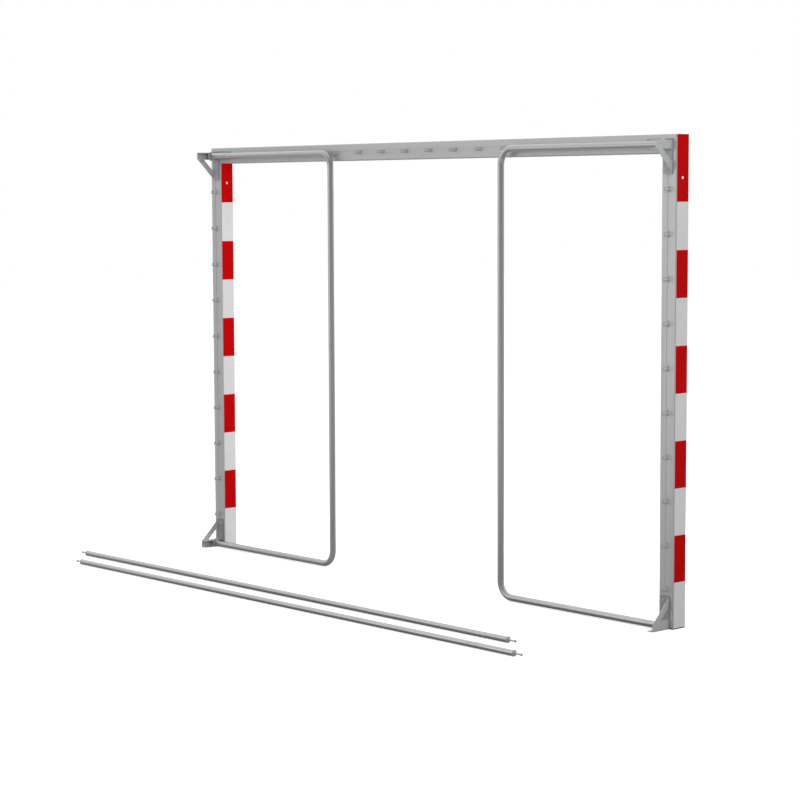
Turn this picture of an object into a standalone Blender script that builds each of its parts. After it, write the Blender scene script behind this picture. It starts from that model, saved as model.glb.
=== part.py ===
# Folding handball goal: a mitred aluminium frame with a clear mouth of 3 x 2 m,
# two net hoops that fold flat behind it, and two loose bars that link the hoops.
# Goal coordinates in metres: X along the crossbar, Y to the rear, Z up, with
# zero on the floor in the middle of the mouth. One empty then moves everything
# so that zero is the middle of the footprint.

import math

import bmesh
import bpy
from mathutils import Matrix
from mathutils import Vector

MM = 0.001
FIT = 0.3 * MM
OVERLAP = 1 * MM

# Goal frame
MOUTH_WIDTH = 3.000
MOUTH_HEIGHT = 2.000
PROFILE = 80 * MM
WALL = 3 * MM
PROFILE_ROUND = 5 * MM
GROOVE_WIDTH = 16 * MM
GROOVE_DEPTH = 1.6 * MM
FOOT_PLATE = 4 * MM
FOOT_PLUG = 25 * MM
CONNECTOR_WALL = 4 * MM
CONNECTOR_DOWN = 420 * MM
CONNECTOR_ACROSS = 330 * MM

# Net hoops and their hinges
HOOP_TUBE = 30 * MM
HOOP_WALL = 2.5 * MM
HOOP_REACH = 951 * MM
HOOP_BEND = 70 * MM
HOOP_TOP = 2.0375
HINGE_X = 1.5365
HINGE_Y = 75 * MM
PIN = 8 * MM
PIN_HEAD = 16 * MM
PIN_HEAD_HEIGHT = 5 * MM
NUT_HEIGHT = 4.7 * MM
NUT_WIDTH = 13.5 * MM
KNUCKLE = 32 * MM
DRAIN_HOLE = 6 * MM
DRAIN_FROM_BEND = 40 * MM

# Brackets
ARM_LENGTH = 106 * MM
ARM_PLATE = 2.6 * MM
ARM_WEB = 3 * MM
ARM_WIDTH = 32 * MM
ARM_GAP = 0.6 * MM
KNUCKLE_GAP = 4.5 * MM
BASE_PLATE = 4.7 * MM
BASE_WIDTH = 48 * MM
BASE_HEIGHT = 142 * MM
CORNER_LEG = 140 * MM
CORNER_LEG_HEIGHT = 40 * MM
CORNER_RISE = 6.5 * MM
BRACE_WIDTH = 27 * MM
BRACE_FROM_END = 4.5 * MM

# Net hooks
HOOK_RING = 26 * MM
HOOK_RISE = 17 * MM
HOOK_WIRE = 4.4 * MM
HOOK_NECK = 6 * MM
LOW_HOOK_RING = 16 * MM
LOW_HOOK_RISE = 15 * MM
LOW_HOOK_WIRE = 3 * MM
HOOK_BASE = 26 * MM
HOOK_BASE_THICK = 2.8 * MM
POST_HOOKS = 10
HOOK_OVER_LOWER_BASE = 28 * MM
HOOK_UNDER_UPPER_BASE = 60.7 * MM
CROSSBAR_HOOKS = 16
CROSSBAR_HOOK_STEP = 165 * MM

# Link bars
BAR_TUBE = 25 * MM
BAR_WALL = 2 * MM
BAR_FLANGE = 27 * MM
BAR_FLANGE_THICK = 4 * MM
STUD = 8 * MM
STUD_HEAD = 12 * MM
STUD_PLUG = 30 * MM
STUD_PAST_TUBE = 9 * MM
LOWER_BAR_X = 20 * MM
LOWER_BAR_Y = 910 * MM
UPPER_BAR_X = 225 * MM
UPPER_BAR_Y = 738 * MM

# Sizes that follow
HALF = PROFILE / 2
POST_X = MOUTH_WIDTH / 2 + HALF
CROSSBAR_Z = MOUTH_HEIGHT + HALF
TOP = MOUTH_HEIGHT + PROFILE
CAVITY = PROFILE - 2 * WALL
ARM_INSIDE = HOOP_TUBE + 2 * ARM_GAP
ARM_HEIGHT = ARM_INSIDE + 2 * ARM_PLATE
HOOP_BOTTOM = ARM_HEIGHT / 2
ARM_OUTER_X = HINGE_X + KNUCKLE / 2 + KNUCKLE_GAP + ARM_WEB
ARM_INNER_X = ARM_OUTER_X - ARM_WIDTH
ARM_REAR_Y = HALF + ARM_LENGTH
BASE_INNER_X = ARM_OUTER_X - BASE_WIDTH
BASE_REAR_Y = HALF + FIT + BASE_PLATE
BRACE_FOOT_Y = ARM_REAR_Y - BRACE_FROM_END
BRACE_UPRIGHT = BRACE_WIDTH * math.sqrt(2)
CORNER_TOP_Z = HOOP_TOP + ARM_HEIGHT / 2 + CORNER_RISE
HOOK_BASE_WIDTH = GROOVE_WIDTH - 2 * FIT
BAR_LENGTH = 2 * HINGE_X - HOOP_TUBE - 2 * FIT
STUD_REACH = HOOP_TUBE + STUD_PAST_TUBE
BAR_HALF_SPAN = BAR_LENGTH / 2 + STUD_REACH + STUD_HEAD / 2
FOOTPRINT_X = (UPPER_BAR_X + BAR_HALF_SPAN - POST_X - HALF) / 2
FOOTPRINT_Y = (LOWER_BAR_Y + BAR_FLANGE / 2 - HALF) / 2

for old in list(bpy.data.objects):
    bpy.data.objects.remove(old, do_unlink=True)

parts = bpy.data.collections.new("folding_handball_goal")
cutters = bpy.data.collections.new("cutters")
bpy.context.scene.collection.children.link(parts)
bpy.context.scene.collection.children.link(cutters)


def material(name, color, roughness, metallic):
    made = bpy.data.materials.new(name)
    made.use_nodes = True
    shader = made.node_tree.nodes["Principled BSDF"]
    shader.inputs["Base Color"].default_value = (*color, 1.0)
    shader.inputs["Roughness"].default_value = roughness
    shader.inputs["Metallic"].default_value = metallic
    made.diffuse_color = (*color, 1.0)
    return made


PAINT = material("painted_profile", (0.80, 0.80, 0.79), 0.35, 0.0)
ALUMINIUM = material("tube_aluminium", (0.62, 0.63, 0.64), 0.38, 1.0)
CASTING = material("connector_aluminium", (0.50, 0.51, 0.52), 0.55, 1.0)
ZINC = material("bracket_steel", (0.55, 0.56, 0.57), 0.42, 1.0)
PLASTIC = material("hook_plastic", (0.10, 0.10, 0.11), 0.50, 0.0)
RUBBER = material("foot_plastic", (0.05, 0.05, 0.05), 0.60, 0.0)


def empty(name, place, parent=None):
    made = bpy.data.objects.new(name, None)
    made.location = place
    made.parent = parent
    made.empty_display_size = 0.1
    parts.objects.link(made)
    return made


GOAL = empty("goal", (-FOOTPRINT_X, -FOOTPRINT_Y, 0.0))


def add_object(name, mesh, parent, look=None):
    """A look makes the mesh a piece of the goal, and none makes it a cutter."""
    made = bpy.data.objects.new(name, mesh)
    made.parent = parent
    if look is None:
        cutters.objects.link(made)
        made.hide_render = True
        made.display_type = "WIRE"
    else:
        parts.objects.link(made)
        mesh.materials.append(look)
    return made


def box_mesh(name, corner, opposite, rounding=0.0, along=None, turn=None):
    """A box between two corners; rounding bevels the edges along one axis, and
    turn is a rotation about the box's middle."""
    low = Vector([min(pair) for pair in zip(corner, opposite)])
    high = Vector([max(pair) for pair in zip(corner, opposite)])
    body = bmesh.new()
    bmesh.ops.create_cube(body, size=1.0)
    bmesh.ops.scale(body, vec=high - low, verts=body.verts)
    if rounding:
        lines = [e for e in body.edges if abs((e.verts[0].co - e.verts[1].co)[along]) > 1e-6]
        bmesh.ops.bevel(body, geom=lines, offset=rounding, segments=3, profile=0.5, affect="EDGES")
    if turn is not None:
        bmesh.ops.rotate(body, matrix=turn, verts=body.verts)
    bmesh.ops.translate(body, vec=(low + high) / 2, verts=body.verts)
    mesh = bpy.data.meshes.new(name)
    body.to_mesh(mesh)
    body.free()
    return mesh


def prism_mesh(name, near, far):
    """A plate between two outlines that have the same number of corners."""
    body = bmesh.new()
    front = [body.verts.new(corner) for corner in near]
    back = [body.verts.new(corner) for corner in far]
    body.faces.new(front)
    body.faces.new(back)
    for index in range(len(front)):
        body.faces.new((front[index - 1], front[index], back[index], back[index - 1]))
    bmesh.ops.recalc_face_normals(body, faces=body.faces)
    mesh = bpy.data.meshes.new(name)
    body.to_mesh(mesh)
    body.free()
    return mesh


def cylinder_mesh(name, radius, start, end, sides):
    axis = Vector(end) - Vector(start)
    body = bmesh.new()
    bmesh.ops.create_cone(
        body, cap_ends=True, segments=sides, radius1=radius, radius2=radius, depth=axis.length
    )
    flat = Matrix.Rotation(math.pi / sides, 3, "Z")
    turn = Vector((0, 0, 1)).rotation_difference(axis).to_matrix()
    bmesh.ops.rotate(body, matrix=turn @ flat, verts=body.verts)
    bmesh.ops.translate(body, vec=(Vector(start) + Vector(end)) / 2, verts=body.verts)
    mesh = bpy.data.meshes.new(name)
    body.to_mesh(mesh)
    body.free()
    return mesh


def swept_mesh(name, points, radius, resolution, closed=False):
    """A round tube along points, with 2 * resolution + 4 sides and welded caps."""
    curve = bpy.data.curves.new(name, "CURVE")
    curve.dimensions = "3D"
    curve.bevel_depth = radius
    curve.bevel_resolution = resolution
    curve.use_fill_caps = True
    spline = curve.splines.new("POLY")
    spline.points.add(len(points) - 1)
    for point, place in zip(spline.points, points):
        point.co = (*place, 1.0)
    guide = bpy.data.objects.new(name + "_path", curve)
    bpy.context.scene.collection.objects.link(guide)
    graph = bpy.context.evaluated_depsgraph_get()
    mesh = bpy.data.meshes.new_from_object(guide.evaluated_get(graph))
    bpy.data.objects.remove(guide, do_unlink=True)
    bpy.data.curves.remove(curve)
    mesh.name = name
    mesh.materials.clear()
    body = bmesh.new()
    body.from_mesh(mesh)
    bmesh.ops.remove_doubles(body, verts=body.verts, dist=1e-5)
    bmesh.ops.recalc_face_normals(body, faces=body.faces)
    body.to_mesh(mesh)
    body.free()
    return mesh


def turned_piece(name, profile, steps, parent, look, place, turn):
    """A profile of (radius, height) points from top to bottom, turned about its axis."""
    mesh = bpy.data.meshes.new(name)
    body = bmesh.new()
    corners = [body.verts.new((radius, 0, height)) for radius, height in profile]
    for first, second in zip(corners, corners[1:]):
        body.edges.new((first, second))
    body.to_mesh(mesh)
    body.free()
    made = add_object(name, mesh, parent, look)
    made.location = place
    made.rotation_euler = turn
    screw = made.modifiers.new("Turn", "SCREW")
    screw.axis = "Z"
    screw.angle = math.tau
    screw.steps = steps
    screw.render_steps = steps
    screw.use_merge_vertices = True
    screw.merge_threshold = 0.00005
    return made


def combine(target, mesh, operation):
    """Adds or cuts a mesh that has the target's own coordinates."""
    tool = add_object(mesh.name + "_tool", mesh, target.parent)
    tool.location = target.location
    tool.rotation_euler = target.rotation_euler
    step = target.modifiers.new(mesh.name, "BOOLEAN")
    step.operation = operation
    step.object = tool


def smooth(mesh, angle=35):
    mesh.shade_smooth()
    mesh.set_sharp_from_angle(angle=math.radians(angle))


def mitre_cutter(name, side, above):
    """A block with one face on the corner's 45 degree joint, half a gap away from it."""
    reach = 0.5
    outward = 1 if above else -1
    normal = Vector((-side, 0, 1)).normalized() * outward
    corner = Vector((side * MOUTH_WIDTH / 2, 0, MOUTH_HEIGHT))
    middle = corner + normal * (reach / 2 - FIT / 2)
    size = Vector((reach, reach, reach)) / 2
    turn = Matrix.Rotation(side * math.radians(45), 3, "Y")
    return box_mesh(name, middle - size, middle + size, turn=turn)


def post(side):
    name = "post_left" if side > 0 else "post_right"
    x = side * POST_X
    foot = FOOT_PLATE + FIT
    outer = box_mesh(name, (x - HALF, -HALF, foot), (x + HALF, HALF, TOP), PROFILE_ROUND, 2)
    smooth(outer)
    made = add_object(name, outer, GOAL, PAINT)
    inner = CAVITY / 2
    combine(
        made,
        box_mesh(name + "_cavity", (x - inner, -inner, -0.1), (x + inner, inner, TOP + 0.1)),
        "DIFFERENCE",
    )
    combine(
        made,
        box_mesh(
            name + "_groove",
            (x - GROOVE_WIDTH / 2, HALF - GROOVE_DEPTH, -0.1),
            (x + GROOVE_WIDTH / 2, HALF + 0.01, TOP + 0.1),
        ),
        "DIFFERENCE",
    )
    combine(made, mitre_cutter(name + "_mitre", side, True), "DIFFERENCE")


def crossbar():
    end = POST_X + HALF
    z = CROSSBAR_Z
    outer = box_mesh("crossbar", (-end, -HALF, z - HALF), (end, HALF, TOP), PROFILE_ROUND, 0)
    smooth(outer)
    made = add_object("crossbar", outer, GOAL, PAINT)
    inner = CAVITY / 2
    combine(
        made,
        box_mesh("crossbar_cavity", (-2, -inner, z - inner), (2, inner, z + inner)),
        "DIFFERENCE",
    )
    combine(
        made,
        box_mesh(
            "crossbar_groove",
            (-2, HALF - GROOVE_DEPTH, z - GROOVE_WIDTH / 2),
            (2, HALF + 0.01, z + GROOVE_WIDTH / 2),
        ),
        "DIFFERENCE",
    )
    for side in (1, -1):
        combine(made, mitre_cutter(f"crossbar_mitre_{side}", side, False), "DIFFERENCE")


def corner_connector(side):
    """The hollow L inside the corner, which both profiles are screwed to."""
    name = "corner_connector_left" if side > 0 else "corner_connector_right"
    outer = CAVITY / 2 - FIT - 0.1 * MM
    inner = outer - CONNECTOR_WALL
    x = side * POST_X
    z = CROSSBAR_Z
    low = z + outer - CONNECTOR_DOWN
    near = side * (POST_X + outer - CONNECTOR_ACROSS)
    far = x + side * outer
    made = add_object(
        name, box_mesh(name, (x - outer, -outer, low), (x + outer, outer, z + outer)), GOAL, CASTING
    )
    combine(
        made, box_mesh(name + "_leg", (near, -outer, z - outer), (far, outer, z + outer)), "UNION"
    )
    combine(
        made,
        box_mesh(name + "_bore", (x - inner, -inner, low - 0.1), (x + inner, inner, z + inner)),
        "DIFFERENCE",
    )
    combine(
        made,
        box_mesh(
            name + "_leg_bore",
            (near - side * 0.1, -inner, z - inner),
            (x + side * inner, inner, z + inner),
        ),
        "DIFFERENCE",
    )


def foot_cap(side):
    name = "foot_cap_left" if side > 0 else "foot_cap_right"
    x = side * POST_X
    plate = box_mesh(name, (x - HALF, -HALF, 0), (x + HALF, HALF, FOOT_PLATE), PROFILE_ROUND, 2)
    made = add_object(name, plate, GOAL, RUBBER)
    outer = CAVITY / 2 - FIT
    inner = outer - WALL
    top = FOOT_PLATE + FOOT_PLUG
    combine(
        made,
        box_mesh(name + "_plug", (x - outer, -outer, FOOT_PLATE / 2), (x + outer, outer, top)),
        "UNION",
    )
    combine(
        made,
        box_mesh(name + "_hollow", (x - inner, -inner, FOOT_PLATE), (x + inner, inner, top + 0.1)),
        "DIFFERENCE",
    )


def bracket(side, level):
    """A plate on the post and a channel arm that carries the hoop's end. The arm's
    outer wall goes on as a slanting brace. The upper bracket is the lower one upside
    down, with a leg along the crossbar."""
    name = f"bracket_{'left' if side > 0 else 'right'}_{level}"
    lower = level == "bottom"

    def at(x, y, z):
        return (side * x, y, z if lower else HOOP_TOP + HOOP_BOTTOM - z)

    front = HALF + FIT
    plate_top = BASE_HEIGHT
    plate = box_mesh(name, at(BASE_INNER_X, front, 0), at(ARM_OUTER_X, BASE_REAR_Y, plate_top))
    made = add_object(name, plate, GOAL, ZINC)
    inside_y = BASE_REAR_Y - OVERLAP
    web = box_mesh(
        name + "_web",
        at(ARM_OUTER_X - ARM_WEB, inside_y, 0),
        at(ARM_OUTER_X, ARM_REAR_Y, ARM_HEIGHT),
    )
    combine(made, web, "UNION")
    for flange, z in (("lower_flange", 0.0), ("upper_flange", ARM_HEIGHT - ARM_PLATE)):
        plate = box_mesh(
            f"{name}_{flange}",
            at(ARM_INNER_X, inside_y, z),
            at(ARM_OUTER_X - ARM_WEB / 2, ARM_REAR_Y, z + ARM_PLATE),
        )
        combine(made, plate, "UNION")
    brace_top = ARM_HEIGHT + BRACE_FOOT_Y - inside_y
    outline = (
        (BRACE_FOOT_Y + OVERLAP, ARM_HEIGHT - OVERLAP),
        (inside_y, brace_top),
        (inside_y, brace_top - BRACE_UPRIGHT),
        (BRACE_FOOT_Y + OVERLAP - BRACE_UPRIGHT, ARM_HEIGHT - OVERLAP),
    )
    near = [at(ARM_OUTER_X, y, z) for y, z in outline]
    far = [at(ARM_OUTER_X - ARM_WEB, y, z) for y, z in outline]
    combine(made, prism_mesh(name + "_brace", near, far), "UNION")
    if not lower:
        leg = box_mesh(
            name + "_leg",
            (side * (ARM_OUTER_X - CORNER_LEG), front, CORNER_TOP_Z - CORNER_LEG_HEIGHT),
            (side * ARM_OUTER_X, BASE_REAR_Y, CORNER_TOP_Z),
        )
        combine(made, leg, "UNION")
    bore = cylinder_mesh(
        name + "_bore",
        PIN / 2 + FIT,
        at(HINGE_X, HINGE_Y, -0.02),
        at(HINGE_X, HINGE_Y, ARM_HEIGHT + 0.02),
        16,
    )
    combine(made, bore, "DIFFERENCE")


def hinge_pin(side, level):
    """A pin with a low head from above; the upper ones also carry a nut under the arm."""
    name = f"hinge_pin_{'left' if side > 0 else 'right'}_{level}"
    base = 0.0 if level == "bottom" else HOOP_TOP - HOOP_BOTTOM
    radius = PIN / 2
    head = PIN_HEAD / 2
    seat = ARM_HEIGHT + FIT
    profile = [(0, seat + PIN_HEAD_HEIGHT)]
    for share, rise in ((0.5, 0.94), (0.8, 0.72), (1.0, 0.3), (1.0, 0.0)):
        profile.append((share * head, seat + rise * PIN_HEAD_HEIGHT))
    profile.append((radius, seat))
    if level == "bottom":
        profile += [(radius, FIT), (0, FIT)]
    else:
        nut = NUT_WIDTH / 2
        under = -FIT - NUT_HEIGHT
        profile += [(radius, -FIT), (nut, -FIT), (nut, under), (0, under)]
    turned_piece(name, profile, 16, GOAL, ZINC, (side * HINGE_X, HINGE_Y, base), (0, 0, 0))


def hoop_path(side, trim):
    """The hoop's centre line from the lower hinge round to the upper one, folded."""
    steps = 7
    run = HOOP_REACH - HOOP_BEND
    points = [(-side * trim, 0, HOOP_BOTTOM)]
    for corner in (0, 1):
        for step in range(steps + 1):
            angle = math.radians(90 * step / steps)
            out = math.sin(angle) if corner == 0 else math.cos(angle)
            up = math.cos(angle) if corner == 0 else math.sin(angle)
            if corner == 0:
                z = HOOP_BOTTOM + HOOP_BEND * (1 - up)
            else:
                z = HOOP_TOP - HOOP_BEND * (1 - up)
            points.append((-side * (run + HOOP_BEND * out), 0, z))
    points.append((-side * trim, 0, HOOP_TOP))
    return points


def net_hoop(side):
    """A hollow U of round tube with a knuckle at each end, folded against the frame.
    A hole in the underside lets water out of it."""
    name = "hoop_left" if side > 0 else "hoop_right"
    axis = empty(name + "_axis", (side * HINGE_X, HINGE_Y, 0), GOAL)
    radius = HOOP_TUBE / 2
    outer = swept_mesh(name, hoop_path(side, 0), radius, 6)
    smooth(outer)
    made = add_object(name, outer, axis, ALUMINIUM)
    hollow = swept_mesh(name + "_hollow", hoop_path(side, 2 * radius), radius - HOOP_WALL, 4)
    combine(made, hollow, "DIFFERENCE")
    reach = radius + 0.2 * MM
    for level, z in (("bottom", HOOP_BOTTOM), ("top", HOOP_TOP)):
        knuckle = cylinder_mesh(
            f"{name}_knuckle_{level}", KNUCKLE / 2, (0, 0, z - reach), (0, 0, z + reach), 24
        )
        combine(made, knuckle, "UNION")
        bore = cylinder_mesh(
            f"{name}_bore_{level}", PIN / 2 + FIT, (0, 0, z - 0.03), (0, 0, z + 0.03), 16
        )
        combine(made, bore, "DIFFERENCE")
    x = -side * (HOOP_REACH - HOOP_BEND - DRAIN_FROM_BEND)
    drain = cylinder_mesh(name + "_drain", DRAIN_HOLE / 2, (x, 0, -0.01), (x, 0, HOOP_BOTTOM), 12)
    combine(made, drain, "DIFFERENCE")


def net_hook_mesh(name, ring, rise, wire, neck, upright):
    """A base strip that lies in the groove, and an open oval ring that stands out of
    it along Y and opens at its top. The strip is upright or lies along X."""
    sink = GROOVE_DEPTH - FIT
    front = HOOK_BASE_THICK - sink
    across = HOOK_BASE_WIDTH / 2
    along = HOOK_BASE / 2
    corner = (across, along) if upright else (along, across)
    strip = box_mesh(
        name + "_strip", (-corner[0], -sink, -corner[1]), (corner[0], front, corner[1])
    )
    path = (ring - wire) / 2
    lift = (rise - wire) / 2
    middle = front + neck + wire / 2 + path
    steps = 9
    points = [(0, 0, -lift * 0.6)]
    for step in range(steps + 1):
        angle = math.radians(205 + 245 * step / steps)
        points.append((0, middle + path * math.cos(angle), lift * math.sin(angle)))
    hook = add_object(name, strip, None)
    combine(hook, swept_mesh(name + "_ring", points, wire / 2, 1), "UNION")
    graph = bpy.context.evaluated_depsgraph_get()
    mesh = bpy.data.meshes.new_from_object(hook.evaluated_get(graph))
    mesh.name = name
    mesh.materials.clear()
    mesh.materials.append(PLASTIC)
    smooth(mesh)
    return mesh


def place_hook(name, mesh, place):
    hook = bpy.data.objects.new(name, mesh)
    hook.parent = GOAL
    hook.location = place
    parts.objects.link(hook)


def net_hooks():
    """Low hooks stand where a folded hoop's upper tube passes close to the crossbar."""
    size = (HOOK_RING, HOOK_RISE, HOOK_WIRE, HOOK_NECK)
    upright = net_hook_mesh("post_hook", *size, True)
    level = net_hook_mesh("crossbar_hook", *size, False)
    low = net_hook_mesh(
        "low_crossbar_hook", LOW_HOOK_RING, LOW_HOOK_RISE, LOW_HOOK_WIRE, 0, False
    )
    highest = HOOP_TOP + HOOP_BOTTOM - BASE_HEIGHT - HOOK_UNDER_UPPER_BASE
    lowest = BASE_HEIGHT + HOOK_OVER_LOWER_BASE
    for side, word in ((1, "left"), (-1, "right")):
        for number in range(POST_HOOKS):
            z = highest - (highest - lowest) * number / (POST_HOOKS - 1)
            place_hook(f"hook_{word}_{number + 1:02d}", upright, (side * POST_X, HALF, z))
    covered = HINGE_X - HOOP_REACH
    for number in range(CROSSBAR_HOOKS):
        x = (number - (CROSSBAR_HOOKS - 1) / 2) * CROSSBAR_HOOK_STEP
        mesh = low if abs(x) > covered else level
        place_hook(f"hook_crossbar_{number + 1:02d}", mesh, (x, HALF, CROSSBAR_Z))


def link_bar(name, x, y):
    """A plain tube on the floor with a headed stud in each end."""
    lie = empty(name + "_place", (x, y, BAR_FLANGE / 2), GOAL)
    half = BAR_LENGTH / 2 - BAR_FLANGE_THICK
    radius = BAR_TUBE / 2
    bore = radius - BAR_WALL
    tube = cylinder_mesh(name, radius, (-half, 0, 0), (half, 0, 0), 20)
    smooth(tube)
    made = add_object(name, tube, lie, ALUMINIUM)
    combine(
        made, cylinder_mesh(name + "_bore", bore, (-half - 0.1, 0, 0), (half + 0.1, 0, 0), 20),
        "DIFFERENCE",
    )
    flange = BAR_FLANGE / 2
    head = STUD_HEAD / 2
    neck = STUD / 2
    plug = bore - 2 * FIT
    tip = BAR_FLANGE_THICK + STUD_REACH + head
    low = FIT
    profile = [(0, tip)]
    for degrees in (50, 20, -15, -40):
        angle = math.radians(degrees)
        profile.append((head * math.cos(angle), tip - head + head * math.sin(angle)))
    profile += [
        (neck, tip - head - 0.75 * head),
        (neck, BAR_FLANGE_THICK),
        (flange, BAR_FLANGE_THICK),
        (flange, low),
        (plug, low),
        (plug, -STUD_PLUG),
        (0, -STUD_PLUG),
    ]
    for side, word in ((1, "left"), (-1, "right")):
        turned_piece(
            f"{name}_stud_{word}",
            profile,
            16,
            lie,
            ZINC,
            (side * half, 0, 0),
            (0, side * math.radians(90), 0),
        )


crossbar()
for hand in (1, -1):
    post(hand)
    corner_connector(hand)
    foot_cap(hand)
    net_hoop(hand)
    for height in ("bottom", "top"):
        bracket(hand, height)
        hinge_pin(hand, height)
net_hooks()
link_bar("bar_upper", UPPER_BAR_X, UPPER_BAR_Y)
link_bar("bar_lower", LOWER_BAR_X, LOWER_BAR_Y)
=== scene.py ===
import math

import bmesh
import bpy
from mathutils import Matrix, Vector


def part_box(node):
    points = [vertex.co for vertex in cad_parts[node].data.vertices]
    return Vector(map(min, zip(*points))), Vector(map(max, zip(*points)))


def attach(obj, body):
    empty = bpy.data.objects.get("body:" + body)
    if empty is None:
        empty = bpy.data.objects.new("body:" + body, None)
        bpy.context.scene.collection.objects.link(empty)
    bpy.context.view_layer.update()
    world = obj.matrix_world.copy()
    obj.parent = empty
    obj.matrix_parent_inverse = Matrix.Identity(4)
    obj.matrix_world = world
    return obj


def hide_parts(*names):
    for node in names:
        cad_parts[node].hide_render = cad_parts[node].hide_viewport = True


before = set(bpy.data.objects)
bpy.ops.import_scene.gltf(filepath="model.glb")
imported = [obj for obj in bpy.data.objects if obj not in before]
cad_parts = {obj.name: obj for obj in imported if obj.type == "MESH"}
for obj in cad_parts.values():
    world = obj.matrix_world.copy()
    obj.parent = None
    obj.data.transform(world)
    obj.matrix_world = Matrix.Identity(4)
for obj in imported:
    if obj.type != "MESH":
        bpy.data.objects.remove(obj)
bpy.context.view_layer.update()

mm = 0.001
past = 10 * mm  # a cutter runs this far, or a few times it, past what it cuts
near = 0.01 * mm  # places closer than this are taken as one
ends = (("left", 1), ("right", -1))  # names of the goal's two ends and the sign of X there
crossbarLow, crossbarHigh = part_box("crossbar")
goalX = (crossbarLow[0] + crossbarHigh[0]) / 2  # middle of the mouth
goalY = (crossbarLow[1] + crossbarHigh[1]) / 2
goalTop = crossbarHigh[2]
rearFace = crossbarHigh[1]
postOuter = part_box("post_left")[1][0] - goalX
bracketPlate = 45 * mm  # rear face of the brackets' base plates, from the goal's middle


def goal(x, y, z):
    # a place measured from the middle of the mouth, on the floor
    return Vector((goalX + x, goalY + y, z))


def makeActive(obj):
    bpy.ops.object.select_all(action="DESELECT")
    obj.select_set(True)
    bpy.context.view_layer.objects.active = obj


def applyPlace(obj):
    makeActive(obj)
    bpy.ops.object.transform_apply(location=True, rotation=True, scale=True)


def addBox(name, first, second):
    low = Vector([min(pair) for pair in zip(first, second)])
    high = Vector([max(pair) for pair in zip(first, second)])
    bpy.ops.mesh.primitive_cube_add(size=1, location=(low + high) / 2, scale=high - low)
    box = bpy.context.active_object
    box.name = name
    applyPlace(box)
    return box


def addRound(name, radius, start, end, sides=32):
    start = Vector(start)
    axis = Vector(end) - start
    turn = Vector((0, 0, 1)).rotation_difference(axis).to_euler()
    bpy.ops.mesh.primitive_cylinder_add(
        vertices=sides, radius=radius, depth=axis.length, location=start + axis / 2, rotation=turn)
    rod = bpy.context.active_object
    rod.name = name
    applyPlace(rod)
    return rod


def edgeRunsAlong(axis):
    # a test for roundEdges: true for the straight edges along this axis
    def test(edge):
        step = edge.verts[1].co - edge.verts[0].co
        return abs(step[axis]) > 0.999 * step.length
    return test


def roundEdges(obj, test, width, segments=3):
    # bevels the edges that pass the test
    makeActive(obj)
    bpy.ops.object.mode_set(mode="EDIT")
    bpy.ops.mesh.select_mode(type="EDGE")
    bpy.ops.mesh.select_all(action="DESELECT")
    mesh = bmesh.from_edit_mesh(obj.data)
    for edge in mesh.edges:
        if test(edge):
            edge.select_set(True)
    bmesh.update_edit_mesh(obj.data)
    bpy.ops.mesh.bevel(offset=width, segments=segments, affect="EDGES")
    bpy.ops.object.mode_set(mode="OBJECT")


def softenEdges(obj, width, segments=2, angle=35):
    # a bevel on every edge sharper than the angle
    makeActive(obj)
    bevel = obj.modifiers.new("softEdges", "BEVEL")
    bevel.width = width
    bevel.segments = segments
    bevel.limit_method = "ANGLE"
    bevel.angle_limit = math.radians(angle)
    bpy.ops.object.modifier_apply(modifier=bevel.name)


def combine(obj, other, operation="DIFFERENCE"):
    # cuts the other piece out of this one, or unites them, and removes the other
    makeActive(obj)
    step = obj.modifiers.new("combine", "BOOLEAN")
    step.operation = operation
    step.object = other
    step.solver = "EXACT"
    bpy.ops.object.modifier_apply(modifier=step.name)
    bpy.data.objects.remove(other, do_unlink=True)


def trimPiece(obj, place, normal):
    # cuts away what lies on the side that the normal points to
    makeActive(obj)
    bpy.ops.object.mode_set(mode="EDIT")
    bpy.ops.mesh.select_all(action="SELECT")
    bpy.ops.mesh.bisect(plane_co=place, plane_no=normal, use_fill=True, clear_outer=True)
    bpy.ops.object.mode_set(mode="OBJECT")


def joinPieces(name, pieces):
    makeActive(pieces[0])
    for piece in pieces:
        piece.select_set(True)
    bpy.ops.object.join()
    joined = bpy.context.active_object
    joined.name = name
    return joined


def thickenWall(obj, wall):
    # the open shell is the outer face, and the wall goes inwards
    makeActive(obj)
    solid = obj.modifiers.new("wall", "SOLIDIFY")
    solid.thickness = wall
    solid.offset = -1
    bpy.ops.object.modifier_apply(modifier=solid.name)


def turnFacesOut(obj):
    makeActive(obj)
    bpy.ops.object.mode_set(mode="EDIT")
    bpy.ops.mesh.select_all(action="SELECT")
    bpy.ops.mesh.remove_doubles(threshold=0.02 * mm)
    bpy.ops.mesh.normals_make_consistent(inside=False)
    bpy.ops.object.mode_set(mode="OBJECT")


def turnPiece(name, outline, place, axis=(0, 0, 1), sides=40):
    # outline is (radius, height) from one end to the other; each step is a new ring
    radius, height = outline[0]
    bpy.ops.mesh.primitive_circle_add(
        vertices=sides, radius=radius, fill_type="NGON", location=(0, 0, height))
    piece = bpy.context.active_object
    piece.name = name
    applyPlace(piece)
    bpy.ops.object.mode_set(mode="EDIT")
    bpy.ops.mesh.select_mode(type="FACE")
    bpy.ops.mesh.select_all(action="SELECT")
    for nextRadius, nextHeight in outline[1:]:
        bpy.ops.mesh.extrude_region_move(
            TRANSFORM_OT_translate={"value": (0, 0, nextHeight - height)})
        share = nextRadius / radius
        bpy.ops.transform.resize(value=(share, share, 1), center_override=(0, 0, nextHeight))
        radius, height = nextRadius, nextHeight
    bpy.ops.object.mode_set(mode="OBJECT")
    piece.rotation_euler = Vector((0, 0, 1)).rotation_difference(Vector(axis)).to_euler()
    piece.location = place
    applyPlace(piece)
    turnFacesOut(piece)
    return piece


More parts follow.
